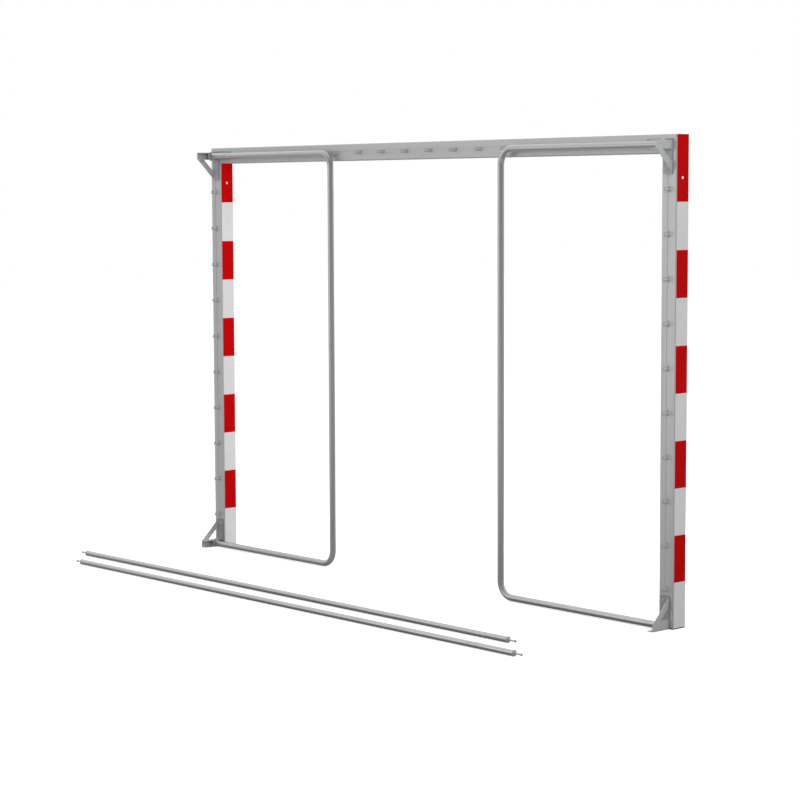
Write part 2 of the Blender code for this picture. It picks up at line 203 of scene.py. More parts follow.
def sweepCircle(name, start, direction, radius, sides, moves):
    # a ring of edges is extruded along each ("run", step) and spun round each
    # ("bend", centre, axis, angle, steps)
    turn = Vector((0, 0, 1)).rotation_difference(Vector(direction)).to_euler()
    bpy.ops.mesh.primitive_circle_add(
        vertices=sides, radius=radius, fill_type="NOTHING", location=start, rotation=turn)
    tube = bpy.context.active_object
    tube.name = name
    applyPlace(tube)
    bpy.ops.object.mode_set(mode="EDIT")
    bpy.ops.mesh.select_mode(type="EDGE")
    bpy.ops.mesh.select_all(action="SELECT")
    for move in moves:
        if move[0] == "run":
            bpy.ops.mesh.extrude_region_move(TRANSFORM_OT_translate={"value": move[1]})
        else:  # spin turns clockwise, so the angle is turned round
            bpy.ops.mesh.spin(steps=move[4], angle=-move[3], center=move[1], axis=move[2])
    bpy.ops.object.mode_set(mode="OBJECT")
    return tube


weld = {
    "ripple": 1.7 * mm,
    "end": 0.45,  # radii of the seam's ends, hollows and crests, as shares of its own
    "hollow": 0.92,
    "crest": 1.06,
    "sides": 10,
}


def weldBead(start, end, radius):
    # a straight seam with the ripples that a welder leaves
    w = weld
    axis = Vector(end) - Vector(start)
    count = max(4, round(axis.length / w["ripple"]))
    step = axis.length / count
    outline = [(w["end"] * radius, 0)]
    for number in range(count):
        outline.append((w["hollow"] * radius, (number + 0.25) * step))
        outline.append((w["crest"] * radius, (number + 0.70) * step))
    outline.append((w["end"] * radius, axis.length))
    return turnPiece("bead", outline, start, axis, w["sides"])


def movedCopy(obj, name, shift):
    copy = obj.copy()
    copy.data = obj.data.copy()
    bpy.context.collection.objects.link(copy)
    copy.name = name
    copy.location = shift
    applyPlace(copy)
    return copy


def finishPiece(obj, name, body, finish, nodes=(), angle=30):
    obj.name = name
    obj.data.name = name
    obj.data.materials.clear()
    obj.data.materials.append(finish)
    makeActive(obj)
    bpy.ops.object.shade_smooth_by_angle(angle=math.radians(angle))
    weighted = obj.modifiers.new("flatFaces", "WEIGHTED_NORMAL")  # wide flat faces stay flat
    weighted.keep_sharp = True
    bpy.ops.object.modifier_apply(modifier=weighted.name)
    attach(obj, body)
    if nodes:
        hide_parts(*nodes)


def linear(hexColour):
    channels = []
    for place in (1, 3, 5):
        value = int(hexColour[place:place + 2], 16) / 255
        channels.append(value / 12.92 if value <= 0.04045 else ((value + 0.055) / 1.055) ** 2.4)
    return (*channels, 1.0)


asColour = {"data_type": "RGBA"}  # for a Mix node of two colours


def setInputs(tree, node, inputs):
    # an input is a number, a colour, a socket to link, or a node whose first output is linked
    for key, value in inputs.items():
        if isinstance(value, bpy.types.Node):
            value = value.outputs[0]
        if isinstance(value, bpy.types.NodeSocket):
            tree.links.new(value, node.inputs[key])
        else:
            node.inputs[key].default_value = value


def addNode(tree, kind, settings=None, inputs=None):
    node = tree.nodes.new("ShaderNode" + kind)
    for key, value in (settings or {}).items():
        setattr(node, key, value)
    setInputs(tree, node, inputs or {})
    return node


def startMaterial(name, roughness=0.5, metallic=0.0):
    made = bpy.data.materials.new(name)
    made.use_nodes = True
    shader = made.node_tree.nodes["Principled BSDF"]
    setInputs(made.node_tree, shader, {"Roughness": roughness, "Metallic": metallic})
    return made, made.node_tree, shader


bumpStrength = 0.10
bumpHeight = 0.2 * mm

profileFinish = {
    "red": ("#C80002", "#C00002"),
    "white": ("#DEDEDE", "#D8D8D7"),
    "scuff": "#8F8A86",
    "bareMetal": ("#CCCCCC", "#D6D5D5", "#C0C0C0"),
    "cornerStripe": 280 * mm,
    "stripe": 200 * mm,
    "roughness": 0.42,
    "paintMirror": 0.04,  # the real coat hardly mirrors
    "bareMirror": 0.7,  # a thin dull film, so the metal mirrors less than new
    "bareEdge": 4.0 * mm,  # the paint stops this far before the rear face
    "wander": 0.2 * mm,  # its edge leaves the straight line by this much
    "blur": 0.3 * mm,  # and is this wide
    "dieLine": 3.2 * mm,  # real lines are under 0.3 mm apart; wider, so that they show
    "dieLineLength": 4.0,
    "broadLine": 55.56 * mm,
    "broadLineLength": 2.0,
    "cloud": 200 * mm,
    "speck": 16.67 * mm,
    "peel": 2.4 * mm,
}


def powderCoatedProfile(name, axis):
    # powder-coated extruded aluminium: satin red and white bands with a faint orange peel on
    # the front, the posts' sides and the crossbar's top; the rear face and the crossbar's
    # underside are left bare, with the lines of the die
    values = profileFinish
    made, tree, shader = startMaterial(name)
    where = addNode(tree, "TexCoord").outputs["Object"]
    x, y, z = addNode(tree, "SeparateXYZ", None, {0: where}).outputs

    # bands, counted from the outer corner of the goal
    if axis == 2:
        fromCorner = addNode(tree, "Math", {"operation": "SUBTRACT"}, {0: goalTop, 1: z})
    else:
        fromMiddle = addNode(tree, "Math", {"operation": "SUBTRACT"}, {0: x, 1: goalX})
        fromMiddle = addNode(tree, "Math", {"operation": "ABSOLUTE"}, {0: fromMiddle})
        fromCorner = addNode(tree, "Math", {"operation": "SUBTRACT"}, {0: postOuter, 1: fromMiddle})
    beyond = addNode(tree, "Math", {"operation": "SUBTRACT"},
                     {0: fromCorner, 1: values["cornerStripe"]})
    inCorner = addNode(tree, "Math", {"operation": "LESS_THAN"}, {0: beyond, 1: 0.0})
    share = addNode(tree, "Math", {"operation": "DIVIDE"}, {0: beyond, 1: 2 * values["stripe"]})
    share = addNode(tree, "Math", {"operation": "FRACT"}, {0: share})
    isRed = addNode(tree, "Math", {"operation": "GREATER_THAN"}, {0: share, 1: 0.5})
    isRed = addNode(tree, "Math", {"operation": "MAXIMUM"}, {0: isRed, 1: inCorner})

    # slow changes of tone, and small rubbed places where balls and hands have been
    cloud = addNode(tree, "TexNoise", None,
                    {"Vector": where, "Scale": 1 / values["cloud"], "Detail": 4.0})
    specks = addNode(tree, "TexNoise", None,
                     {"Vector": where, "Scale": 1 / values["speck"], "Detail": 5.0,
                      "Roughness": 0.7})
    fade = addNode(tree, "MapRange", None, {0: cloud, 1: 0.35, 2: 0.70})
    red = addNode(tree, "Mix", asColour,
                  {0: fade, 6: linear(values["red"][0]), 7: linear(values["red"][1])})
    white = addNode(tree, "Mix", asColour,
                    {0: fade, 6: linear(values["white"][0]), 7: linear(values["white"][1])})
    paint = addNode(tree, "Mix", asColour, {0: isRed, 6: white.outputs[2], 7: red.outputs[2]})
    rubbed = addNode(tree, "MapRange", None, {0: specks, 1: 0.64, 2: 0.76, 3: 0.0, 4: 0.30})
    patches = addNode(tree, "MapRange", None, {0: cloud, 1: 0.50, 2: 0.65})
    rubbed = addNode(tree, "Math", {"operation": "MULTIPLY"}, {0: rubbed, 1: patches})
    paint = addNode(tree, "Mix", asColour,
                    {0: rubbed, 6: paint.outputs[2], 7: linear(values["scuff"])})
    paintRough = addNode(tree, "MapRange", None,
                         {0: specks, 1: 0.30, 2: 0.75, 3: values["roughness"] - 0.04,
                          4: values["roughness"] + 0.12})

    # bare metal: lines along the extrusion over a slow change of tone
    lineScale = [1 / values["dieLine"]] * 3
    lineScale[axis] = 1 / values["dieLineLength"]
    broadScale = [1 / values["broadLine"]] * 3
    broadScale[axis] = 1 / values["broadLineLength"]
    stretched = addNode(tree, "Mapping", None, {"Vector": where, "Scale": lineScale})
    lines = addNode(tree, "TexNoise", None, {"Vector": stretched, "Scale": 0.5, "Detail": 3.0})
    stretched = addNode(tree, "Mapping", None, {"Vector": where, "Scale": broadScale})
    broad = addNode(tree, "TexNoise", None, {"Vector": stretched, "Scale": 1.0, "Detail": 2.0})
    lineShare = addNode(tree, "MapRange", None, {0: lines, 1: 0.30, 2: 0.70})
    broadShare = addNode(tree, "MapRange", None, {0: broad, 1: 0.35, 2: 0.65, 3: 0.0, 4: 0.5})
    plain, pale, dull = (linear(tone) for tone in values["bareMetal"])
    metal = addNode(tree, "Mix", asColour, {0: lineShare, 6: plain, 7: pale})
    metal = addNode(tree, "Mix", asColour, {0: broadShare, 6: metal.outputs[2], 7: dull})
    metalRough = addNode(tree, "MapRange", None,
                         {0: lines, 1: 0.30, 2: 0.70, 3: values["roughness"] - 0.04,
                          4: values["roughness"] + 0.05})

    # the edge of the paint wanders a little
    wander = addNode(tree, "MapRange", None,
                     {0: specks, 1: 0.3, 2: 0.7, 3: -values["wander"], 4: values["wander"]})
    depth = addNode(tree, "Math", {"operation": "ADD"}, {0: y, 1: wander})
    paintEnd = rearFace - values["bareEdge"]
    isBare = addNode(tree, "MapRange", None,
                     {0: depth, 1: paintEnd, 2: paintEnd + values["blur"]})
    if axis == 0:
        level = addNode(tree, "Math", {"operation": "ADD"}, {0: z, 1: wander})
        lowEnd = crossbarLow[2] + values["bareEdge"]
        isUnder = addNode(tree, "MapRange", None,
                          {0: level, 1: lowEnd - values["blur"], 2: lowEnd, 3: 1.0, 4: 0.0})
        isBare = addNode(tree, "Math", {"operation": "MAXIMUM"}, {0: isBare, 1: isUnder})
    colour = addNode(tree, "Mix", asColour, {0: isBare, 6: paint.outputs[2], 7: metal.outputs[2]})
    rough = addNode(tree, "Mix", None, {0: isBare, 2: paintRough, 3: metalRough})
    metallic = addNode(tree, "Math", {"operation": "MULTIPLY"},
                       {0: isBare, 1: values["bareMirror"]})
    peel = addNode(tree, "TexNoise", None,
                   {"Vector": where, "Scale": 1 / values["peel"], "Detail": 1.5})
    height = addNode(tree, "Mix", None, {0: isBare, 2: peel, 3: lines})
    bump = addNode(tree, "Bump", None,
                   {"Strength": bumpStrength, "Distance": bumpHeight, "Height": height})
    setInputs(tree, shader, {"Base Color": colour.outputs[2], "Metallic": metallic,
                             "Roughness": rough, "Normal": bump,
                             "Specular IOR Level": values["paintMirror"]})
    return made


tubeFinish = {
    "light": "#CFD0D1",
    "dark": "#C0C1C3",
    "dull": "#B2B3B5",
    "roughness": 0.30,
    "drawLine": 2.4 * mm,  # real lines are finer; wider, so that they show
    "mark": 111.1 * mm,
    "change": 20 * mm,  # between level and upright lines
}


def drawnAluminiumTube(name, uprightFrom=None, uprightTo=None):
    # drawn aluminium tube: satin metal with fine lines along its length and duller places from
    # handling; between the two X places the tube runs upright, and its lines with it
    values = tubeFinish
    made, tree, shader = startMaterial(name, values["roughness"], 1.0)
    where = addNode(tree, "TexCoord").outputs["Object"]
    fine = 1 / values["drawLine"]
    stretched = addNode(tree, "Mapping", None, {"Vector": where, "Scale": (1.0, fine, fine)})
    lines = addNode(tree, "TexNoise", None, {"Vector": stretched, "Scale": 0.5, "Detail": 3.0})
    if uprightFrom is not None:
        x = addNode(tree, "SeparateXYZ", None, {0: where}).outputs[0]
        stretched = addNode(tree, "Mapping", None, {"Vector": where, "Scale": (fine, fine, 1.0)})
        upright = addNode(tree, "TexNoise", None,
                          {"Vector": stretched, "Scale": 0.5, "Detail": 3.0})
        after = addNode(tree, "MapRange", None,
                        {0: x, 1: uprightFrom - values["change"], 2: uprightFrom, 3: 0.0, 4: 1.0})
        before = addNode(tree, "MapRange", None,
                         {0: x, 1: uprightTo, 2: uprightTo + values["change"], 3: 1.0, 4: 0.0})
        inside = addNode(tree, "Math", {"operation": "MULTIPLY"}, {0: after, 1: before})
        lines = addNode(tree, "Mix", None, {0: inside, 2: lines, 3: upright})
    marks = addNode(tree, "TexNoise", None,
                    {"Vector": where, "Scale": 1 / values["mark"], "Detail": 5.0,
                     "Roughness": 0.65})
    share = addNode(tree, "MapRange", None, {0: lines, 1: 0.3, 2: 0.7})
    colour = addNode(tree, "Mix", asColour,
                     {0: share, 6: linear(values["light"]), 7: linear(values["dark"])})
    marked = addNode(tree, "MapRange", None, {0: marks, 1: 0.55, 2: 0.75, 3: 0.0, 4: 0.5})
    colour = addNode(tree, "Mix", asColour,
                     {0: marked, 6: colour.outputs[2], 7: linear(values["dull"])})
    rough = addNode(tree, "MapRange", None, {0: lines, 1: 0.3, 2: 0.7, 3: -0.04, 4: 0.05})
    rough = addNode(tree, "Math", {"operation": "MULTIPLY_ADD"}, {0: marked, 1: 0.25, 2: rough})
    rough = addNode(tree, "Math", {"operation": "ADD"}, {0: rough, 1: values["roughness"]})
    bump = addNode(tree, "Bump", None,
                   {"Strength": bumpStrength, "Distance": bumpHeight, "Height": lines})
    setInputs(tree, shader, {"Base Color": colour.outputs[2], "Roughness": rough, "Normal": bump})
    return made


zincFinish = {
    "crystal": 9 * mm,
    "fineCrystal": 3 * mm,
    "smear": 22.22 * mm,
    "plateShadeEnd": 0.1 * mm,  # the painted shade on the plates ends this far behind their rear face
    "plateShadeBlur": 0.6 * mm,
    "plateShadeAtFloor": 0.58,  # the plates' painted shade at the floor and at the height given below, as shares of the rest; between them it never falls under the first
    "plateShadeAbove": 0.74,  # as shares of the rest; between them it never falls under the first
    "plateShadeHeight": 2.0,
}


def zincCoatedSteel(name, light, dark, roughness, metallic, crystal, shadePlates=False):
    # hot-dip zinc on cut and bent steel: a cool grey with crystals of 6 to 12 mm, a little
    # smeared; small turned parts get a finer, brighter coat; the plates on the posts get
    # painted shade, darkest near the floor
    values = zincFinish
    made, tree, shader = startMaterial(name, roughness, metallic)
    where = addNode(tree, "TexCoord").outputs["Object"]
    crystals = addNode(tree, "TexVoronoi", None, {"Vector": where, "Scale": 1 / crystal})
    tint = addNode(tree, "SeparateColor", None, {0: crystals.outputs["Color"]})
    smear = addNode(tree, "TexNoise", None,
                    {"Vector": where, "Scale": 1 / values["smear"], "Detail": 4.0})
    amount = addNode(tree, "Mix", None, {0: 0.6, 2: tint, 3: smear})
    amount = addNode(tree, "MapRange", None, {0: amount, 1: 0.2, 2: 0.8})
    colour = addNode(tree, "Mix", asColour, {0: amount, 6: linear(light), 7: linear(dark)})
    colour = colour.outputs[2]
    # painted shade: the plates are darkened where the arm and brace shade them, and less so only
    # near the top
    if shadePlates:
        depth, level = addNode(tree, "SeparateXYZ", None, {0: where}).outputs[1:3]
        plateShadeEnd = goalY + bracketPlate + values["plateShadeEnd"]
        dull = addNode(tree, "MapRange", None,
                       {0: depth, 1: plateShadeEnd, 2: plateShadeEnd + values["plateShadeBlur"],
                        3: values["plateShadeAtFloor"], 4: 1.0})
        shadeByHeight = addNode(tree, "MapRange", None,
                        {0: level, 1: 0.0, 2: values["plateShadeHeight"], 3: 0.0,
                         4: values["plateShadeAbove"]})
        dull = addNode(tree, "Math", {"operation": "MAXIMUM"}, {0: dull, 1: shadeByHeight})
        colour = addNode(tree, "VectorMath", {"operation": "SCALE"}, {0: colour, "Scale": dull})
    rough = addNode(tree, "MapRange", None,
                    {0: amount, 1: 0.0, 2: 1.0, 3: roughness - 0.06, 4: roughness + 0.10})
    bump = addNode(tree, "Bump", None,
                   {"Strength": bumpStrength, "Distance": bumpHeight, "Height": smear})
    setInputs(tree, shader, {"Base Color": colour, "Roughness": rough, "Normal": bump})
    return made


plasticFinish = {
    "grain": 0.625 * mm,
    "cloud": 14.29 * mm,
    "bumpStrength": 0.15,
    "bumpHeight": 0.1 * mm,
}


def mouldedPlastic(name, base, worn, roughness):
    # injection-moulded plastic: an even dull colour with a fine spark-eroded grain, a little
    # paler where it is rubbed
    values = plasticFinish
    made, tree, shader = startMaterial(name, roughness, 0.0)
    where = addNode(tree, "TexCoord").outputs["Object"]
    grain = addNode(tree, "TexNoise", None,
                    {"Vector": where, "Scale": 1 / values["grain"], "Detail": 2.0})
    cloud = addNode(tree, "TexNoise", None,
                    {"Vector": where, "Scale": 1 / values["cloud"], "Detail": 3.0})
    amount = addNode(tree, "MapRange", None, {0: cloud, 1: 0.4, 2: 0.7})
    colour = addNode(tree, "Mix", asColour, {0: amount, 6: linear(base), 7: linear(worn)})
    rough = addNode(tree, "MapRange", None,
                    {0: cloud, 1: 0.3, 2: 0.7, 3: roughness - 0.06, 4: roughness + 0.08})
    bump = addNode(tree, "Bump", None,
                   {"Strength": values["bumpStrength"], "Distance": values["bumpHeight"],
                    "Height": grain})
    setInputs(tree, shader, {"Base Color": colour.outputs[2], "Roughness": rough, "Normal": bump})
    return made


castFinish = {
    "light": "#B4B5B6",
    "dark": "#989A9C",
    "roughness": 0.6,
    "metallic": 0.9,
    "grit": 1.111 * mm,
    "cloud": 40 * mm,
    "bumpStrength": 0.3,
}


def sandCastAluminium(name):
    # sand-cast aluminium: dull and grey, with the grit of the sand
    values = castFinish
    made, tree, shader = startMaterial(name, values["roughness"], values["metallic"])
    where = addNode(tree, "TexCoord").outputs["Object"]
    grit = addNode(tree, "TexNoise", None,
                   {"Vector": where, "Scale": 1 / values["grit"], "Detail": 3.0})
    cloud = addNode(tree, "TexNoise", None,
                    {"Vector": where, "Scale": 1 / values["cloud"], "Detail": 4.0})
    colour = addNode(tree, "Mix", asColour,
                     {0: cloud, 6: linear(values["light"]), 7: linear(values["dark"])})
    bump = addNode(tree, "Bump", None,
                   {"Strength": values["bumpStrength"], "Distance": bumpHeight, "Height": grit})
    setInputs(tree, shader, {"Base Color": colour.outputs[2], "Normal": bump})
    return made


uprightProfile = powderCoatedProfile("powderCoatedProfileUpright", 2)
levelProfile = powderCoatedProfile("powderCoatedProfileLevel", 0)
barTube = drawnAluminiumTube("drawnAluminiumBar")
# the brackets' plates get painted shade
bracketZinc = zincCoatedSteel("hotDipZincSteel", "#D4D5D6", "#C4C6C8", 0.50, 0.45,
                              zincFinish["crystal"], True)
turnedZinc = zincCoatedSteel("brightZincSteel", "#D2D3D4", "#C4C6C8", 0.34, 0.65,
                             zincFinish["fineCrystal"])
screwZinc = zincCoatedSteel("passivatedZincScrew", "#F4F4F4", "#EAEBEC", 0.36, 0.25,
                            zincFinish["fineCrystal"])
hookPlastic = mouldedPlastic("greyPolyamide", "#A3A5A7", "#AFB1B3", 0.5)
footPlastic = mouldedPlastic("blackPolyethylene", "#242527", "#313234", 0.6)
castAluminium = sandCastAluminium("sandCastAluminium")
print("materials ready")

# goal frame: two posts and a crossbar, hollow, mitred at the corners
profile = {
    "size": 80 * mm,
    "wall": 3 * mm,
    "edge": 5 * mm,
    "innerEdge": 1 * mm,
    "groove": 16 * mm,
    "grooveDepth": 1.6 * mm,
    "grooveLip": 0.4 * mm,
    "jointGap": 0.3 * mm,
    "rim": 0.25 * mm,  # broken edges of the cuts
}


def makeProfile(name, axis, low, high, mitreSides):
    p = profile
    across = 0 if axis == 2 else 2
    middle = (low[across] + high[across]) / 2
    piece = addBox(name, low, high)
    roundEdges(piece, edgeRunsAlong(axis), p["edge"], 6)

    start, end = low[axis] - 10 * past, high[axis] + 10 * past
    first, second = [0, rearFace - p["grooveDepth"], 0], [0, rearFace + past, 0]
    first[axis], second[axis] = start, end
    first[across], second[across] = middle - p["groove"] / 2, middle + p["groove"] / 2
    combine(piece, addBox("groove", first, second))

    def isGrooveLip(edge):
        place = edge.verts[0].co
        return (edgeRunsAlong(axis)(edge) and abs(place.y - rearFace) < near
                and abs(place[across] - middle) < 0.6 * p["groove"])

    roundEdges(piece, isGrooveLip, p["grooveLip"], 3)

    for side in mitreSides:  # the 45 degree joints
        normal = Vector((-side, 0, 1)).normalized() * (1 if axis == 2 else -1)
        corner = goal(side * (postOuter - p["size"]), 0, goalTop - p["size"])
        trimPiece(piece, corner - normal * p["jointGap"] / 2, normal)

    half = p["size"] / 2 - p["wall"]
    first, second = [0, goalY - half, 0], [0, goalY + half, 0]
    first[axis], second[axis] = start, end
    first[across], second[across] = middle - half, middle + half
    core = addBox("core", first, second)
    roundEdges(core, edgeRunsAlong(axis), p["innerEdge"], 3)
    combine(piece, core)
    return piece


postShapes = {}
for word, side in ends:
    low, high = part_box("post_" + word)
    postShapes[word] = makeProfile("post_" + word, 2, low, (high[0], high[1], goalTop), [side])
barLow = goal(-postOuter, crossbarLow[1] - goalY, crossbarLow[2])
barHigh = goal(postOuter, rearFace - goalY, goalTop)
crossbarShape = makeProfile("crossbar", 0, barLow, barHigh, [1, -1])

for node in ("corner_connector_left", "corner_connector_right"):
    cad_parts[node].data.materials.clear()
    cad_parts[node].data.materials.append(castAluminium)

# screws: sunk in the profiles, where they hold the corner connectors, and low domed heads
# on the brackets
screw = {
    "radius": 5 * mm,
    "rise": 2.4 * mm,
    "sunkRadius": 6.5 * mm,
    "sunkRise": 0.85 * mm,
    "seat": 1 * mm,  # of the sunk heads, below the face
    "pocket": 7.3 * mm,
    "pocketDepth": 1.5 * mm,
    "socket": 2.3 * mm,
    "socketDepth": 1.3 * mm,
    "onPost": (1.90, 1.70),
    "onCrossbar": (1.40, 1.27),
    "onLowerBracket": ((1.526, 0.122), (1.526, 0.060)),
    "onUpperBracket": ((1.526, 1.9357), (1.526, 1.9977), (1.440, 2.0422), (1.480, 2.0422)),
}


def makeScrew(place, direction, rise, radius):
    s = screw
    head = turnPiece("screw", [
        (radius - 0.8 * mm, -s["pocketDepth"] - 0.3 * mm), (radius - 0.5 * mm, -0.8 * mm),
        (radius, 0.25 * rise), (0.96 * radius, 0.5 * rise), (0.8 * radius, 0.82 * rise),
        (0.5 * radius, rise)], place, direction, 28)
    combine(head, addRound("socket", s["socket"], place + direction * (rise - s["socketDepth"]),
                           place + direction * (rise + 1 * mm), 6))
    return head


def sinkScrew(shape, place, direction):
    s = screw
    combine(shape, addRound("pocket", s["pocket"], place - direction * s["pocketDepth"],
                            place + direction * past, 32))
    return makeScrew(place - direction * s["seat"], direction, s["sunkRise"], s["sunkRadius"])


frameScrews = []
bracketScrews = []
for word, side in ends:
    for z in screw["onPost"]:
        for x, outward in ((postOuter, side), (postOuter - profile["size"], -side)):
            frameScrews.append(sinkScrew(postShapes[word], goal(side * x, 0, z),
                                         Vector((outward, 0, 0))))
    for x in screw["onCrossbar"]:
        for z, outward in ((goalTop, 1), (goalTop - profile["size"], -1)):
            frameScrews.append(sinkScrew(crossbarShape, goal(side * x, 0, z),
                                         Vector((0, 0, outward))))
    for x, z in screw["onLowerBracket"] + screw["onUpperBracket"]:
        bracketScrews.append(makeScrew(goal(side * x, bracketPlate, z), Vector((0, 1, 0)),
                                       screw["rise"], screw["radius"]))

for word, post in postShapes.items():
    softenEdges(post, profile["rim"], 1, 60)
    finishPiece(post, f"post_{word}_profile", "frame", uprightProfile,
                ["post_" + word])
softenEdges(crossbarShape, profile["rim"], 1, 60)
finishPiece(crossbarShape, "crossbar_profile", "frame", levelProfile,
            ["crossbar"])
finishPiece(joinPieces("screws", frameScrews), "frame_screws", "frame", screwZinc)
finishPiece(joinPieces("bracketScrews", bracketScrews), "bracket_screws", "frame",
            turnedZinc)

footCap = {
    "plate": 4 * mm,
    "edge": 5 * mm,
    "rim": 0.8 * mm,
    "inset": 3.3 * mm,
    "wall": 3 * mm,
    "plugStart": 1 * mm,  # inside the plate, above the floor
    "plugRim": 0.9 * mm,
}
for node in ("foot_cap_left", "foot_cap_right"):
    low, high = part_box(node)
    cap = addBox(node, low, (high[0], high[1], low[2] + footCap["plate"]))
    roundEdges(cap, edgeRunsAlong(2), footCap["edge"], 6)
    softenEdges(cap, footCap["rim"], 2)
    inset = footCap["inset"]
    plug = addBox("plug", (low[0] + inset, low[1] + inset, low[2] + footCap["plugStart"]),
                  (high[0] - inset, high[1] - inset, high[2]))
    softenEdges(plug, footCap["plugRim"], 2)
    combine(cap, plug, "UNION")
    inset += footCap["wall"]
    combine(cap, addBox("hollow", (low[0] + inset, low[1] + inset, low[2] + footCap["plate"]),
                        (high[0] - inset, high[1] - inset, high[2] + past)))
    finishPiece(cap, node + "_moulding", "frame", footPlastic, [node])
print("frame ready")

# net hoops: a U of tube with a hinge eye welded to each end, folded behind the crossbar
hoop = {
    "radius": 15 * mm,
    "wall": 2.5 * mm,
    "reach": 951 * mm,
    "bend": 70 * mm,
    "bendSteps": 14,
    "sides": 40,
    "hingeX": 1.5365,
    "hingeY": 75 * mm,
    "bottom": 18.2 * mm,
    "top": 2.0375,
    "eye": 16 * mm,
    "eyeHalf": 15.2 * mm,
    "eyeRim": 1.1 * mm,
    "bore": 4.3 * mm,
    "bead": 1.6 * mm,
    "beadProud": 0.4 * mm,  # no more, or it would rub in the bracket's arm
    "drain": 3 * mm,
    "drainFromBend": 40 * mm,
}


def saddleBead(tubeRadius, eyeRadius, center, side, thick):
    # the weld seam that goes round the tube where it meets the eye: a circle whose points are
    # moved along X onto the eye's round face
    bpy.ops.mesh.primitive_circle_add(
        vertices=64, radius=tubeRadius, fill_type="NOTHING", rotation=(0, math.radians(90), 0))
    seam = bpy.context.active_object
    applyPlace(seam)
    for vertex in seam.data.vertices:
        across = min(abs(vertex.co.y), eyeRadius * 0.999)
        vertex.co.x = -side * math.sqrt(eyeRadius ** 2 - across ** 2)
    bpy.ops.object.convert(target="CURVE")
    seam = bpy.context.active_object
    seam.data.bevel_depth = thick
    seam.data.bevel_resolution = 2
    bpy.ops.object.convert(target="MESH")
    seam = bpy.context.active_object
    seam.location = center
    applyPlace(seam)
    turnFacesOut(seam)
    return seam


def makeHoop(name, side):
    h = hoop
    run = h["reach"] - h["bend"]
    height = h["top"] - h["bottom"] - 2 * h["bend"]
    start = goal(side * h["hingeX"], h["hingeY"], h["bottom"])
    lowCenter = start + Vector((-side * run, 0, h["bend"]))
    highCenter = lowCenter + Vector((0, 0, height))
    quarter = math.radians(90) * side
    tube = sweepCircle(
        name, start, (-side, 0, 0), h["radius"], h["sides"],
        [("run", (-side * run, 0, 0)),
         ("bend", lowCenter, (0, 1, 0), quarter, h["bendSteps"]),
         ("run", (0, 0, height)),
         ("bend", highCenter, (0, 1, 0), quarter, h["bendSteps"]),
         ("run", (side * run, 0, 0))])
    turnFacesOut(tube)
    thickenWall(tube, h["wall"])
    for z in (h["bottom"], h["top"]):
        middle = goal(side * h["hingeX"], h["hingeY"], z)
        half = Vector((0, 0, h["eyeHalf"]))
        eye = addRound("eye", h["eye"], middle - half, middle + half, 48)
        softenEdges(eye, h["eyeRim"], 2)
        combine(tube, eye, "UNION")
        combine(tube, addRound("bore", h["bore"], middle - half * 2, middle + half * 2, 32))
    drain = goal(side * (h["hingeX"] - run + h["drainFromBend"]), h["hingeY"], h["bottom"])
    combine(tube, addRound("drain", h["drain"], drain - Vector((0, 0, 3 * past)), drain, 24))
    seamRadius = h["radius"] + h["beadProud"] - h["bead"]
    pieces = [tube]
    for z in (h["bottom"], h["top"]):
        middle = goal(side * h["hingeX"], h["hingeY"], z)
        pieces.append(saddleBead(seamRadius, h["eye"], middle, side, h["bead"]))
    return joinPieces(name, pieces)


for word, side in ends:
    node = "hoop_" + word
    uprightX = goalX + side * (hoop["hingeX"] - hoop["reach"])
    half = hoop["radius"] + tubeFinish["change"]
    finish = drawnAluminiumTube("drawnAluminiumHoop_" + word, uprightX - half, uprightX + half)
    finishPiece(makeHoop(node, side), node + "_tube", node, finish, [node])
print("hoops ready")

# brackets: a plate screwed to the post, a channel arm for the hoop's eye, and a slanting brace
# that is cut in one with the arm's outer wall
bracket = {
    "outerX": 1.560,
    "armWidth": 32 * mm,
    "web": 3 * mm,
    "flange": 2.6 * mm,
    "height": 36.4 * mm,
    "bendOut": 3.2 * mm,
    "frontY": 40.3 * mm,
    "baseY": bracketPlate,
    "rearY": 146 * mm,
    "baseWidth": 48 * mm,
    "baseHeight": 142 * mm,
    "braceEndY": 141.5 * mm,
    "braceWidth": 27 * mm,
    "legLength": 140 * mm,
    "legHeight": 40 * mm,
    "legTop": 2.0622,
    "overlap": 1 * mm,
    "corner": 4 * mm,
    "innerBend": 1 * mm,
    "rim": 0.45 * mm,
    "bead": 1.6 * mm,
    "beadEnd": 2 * mm,  # the seams stop this far before the plates' edges
    "braceBead": 45 * mm,  # above the arm, where the brace's own seam starts
}


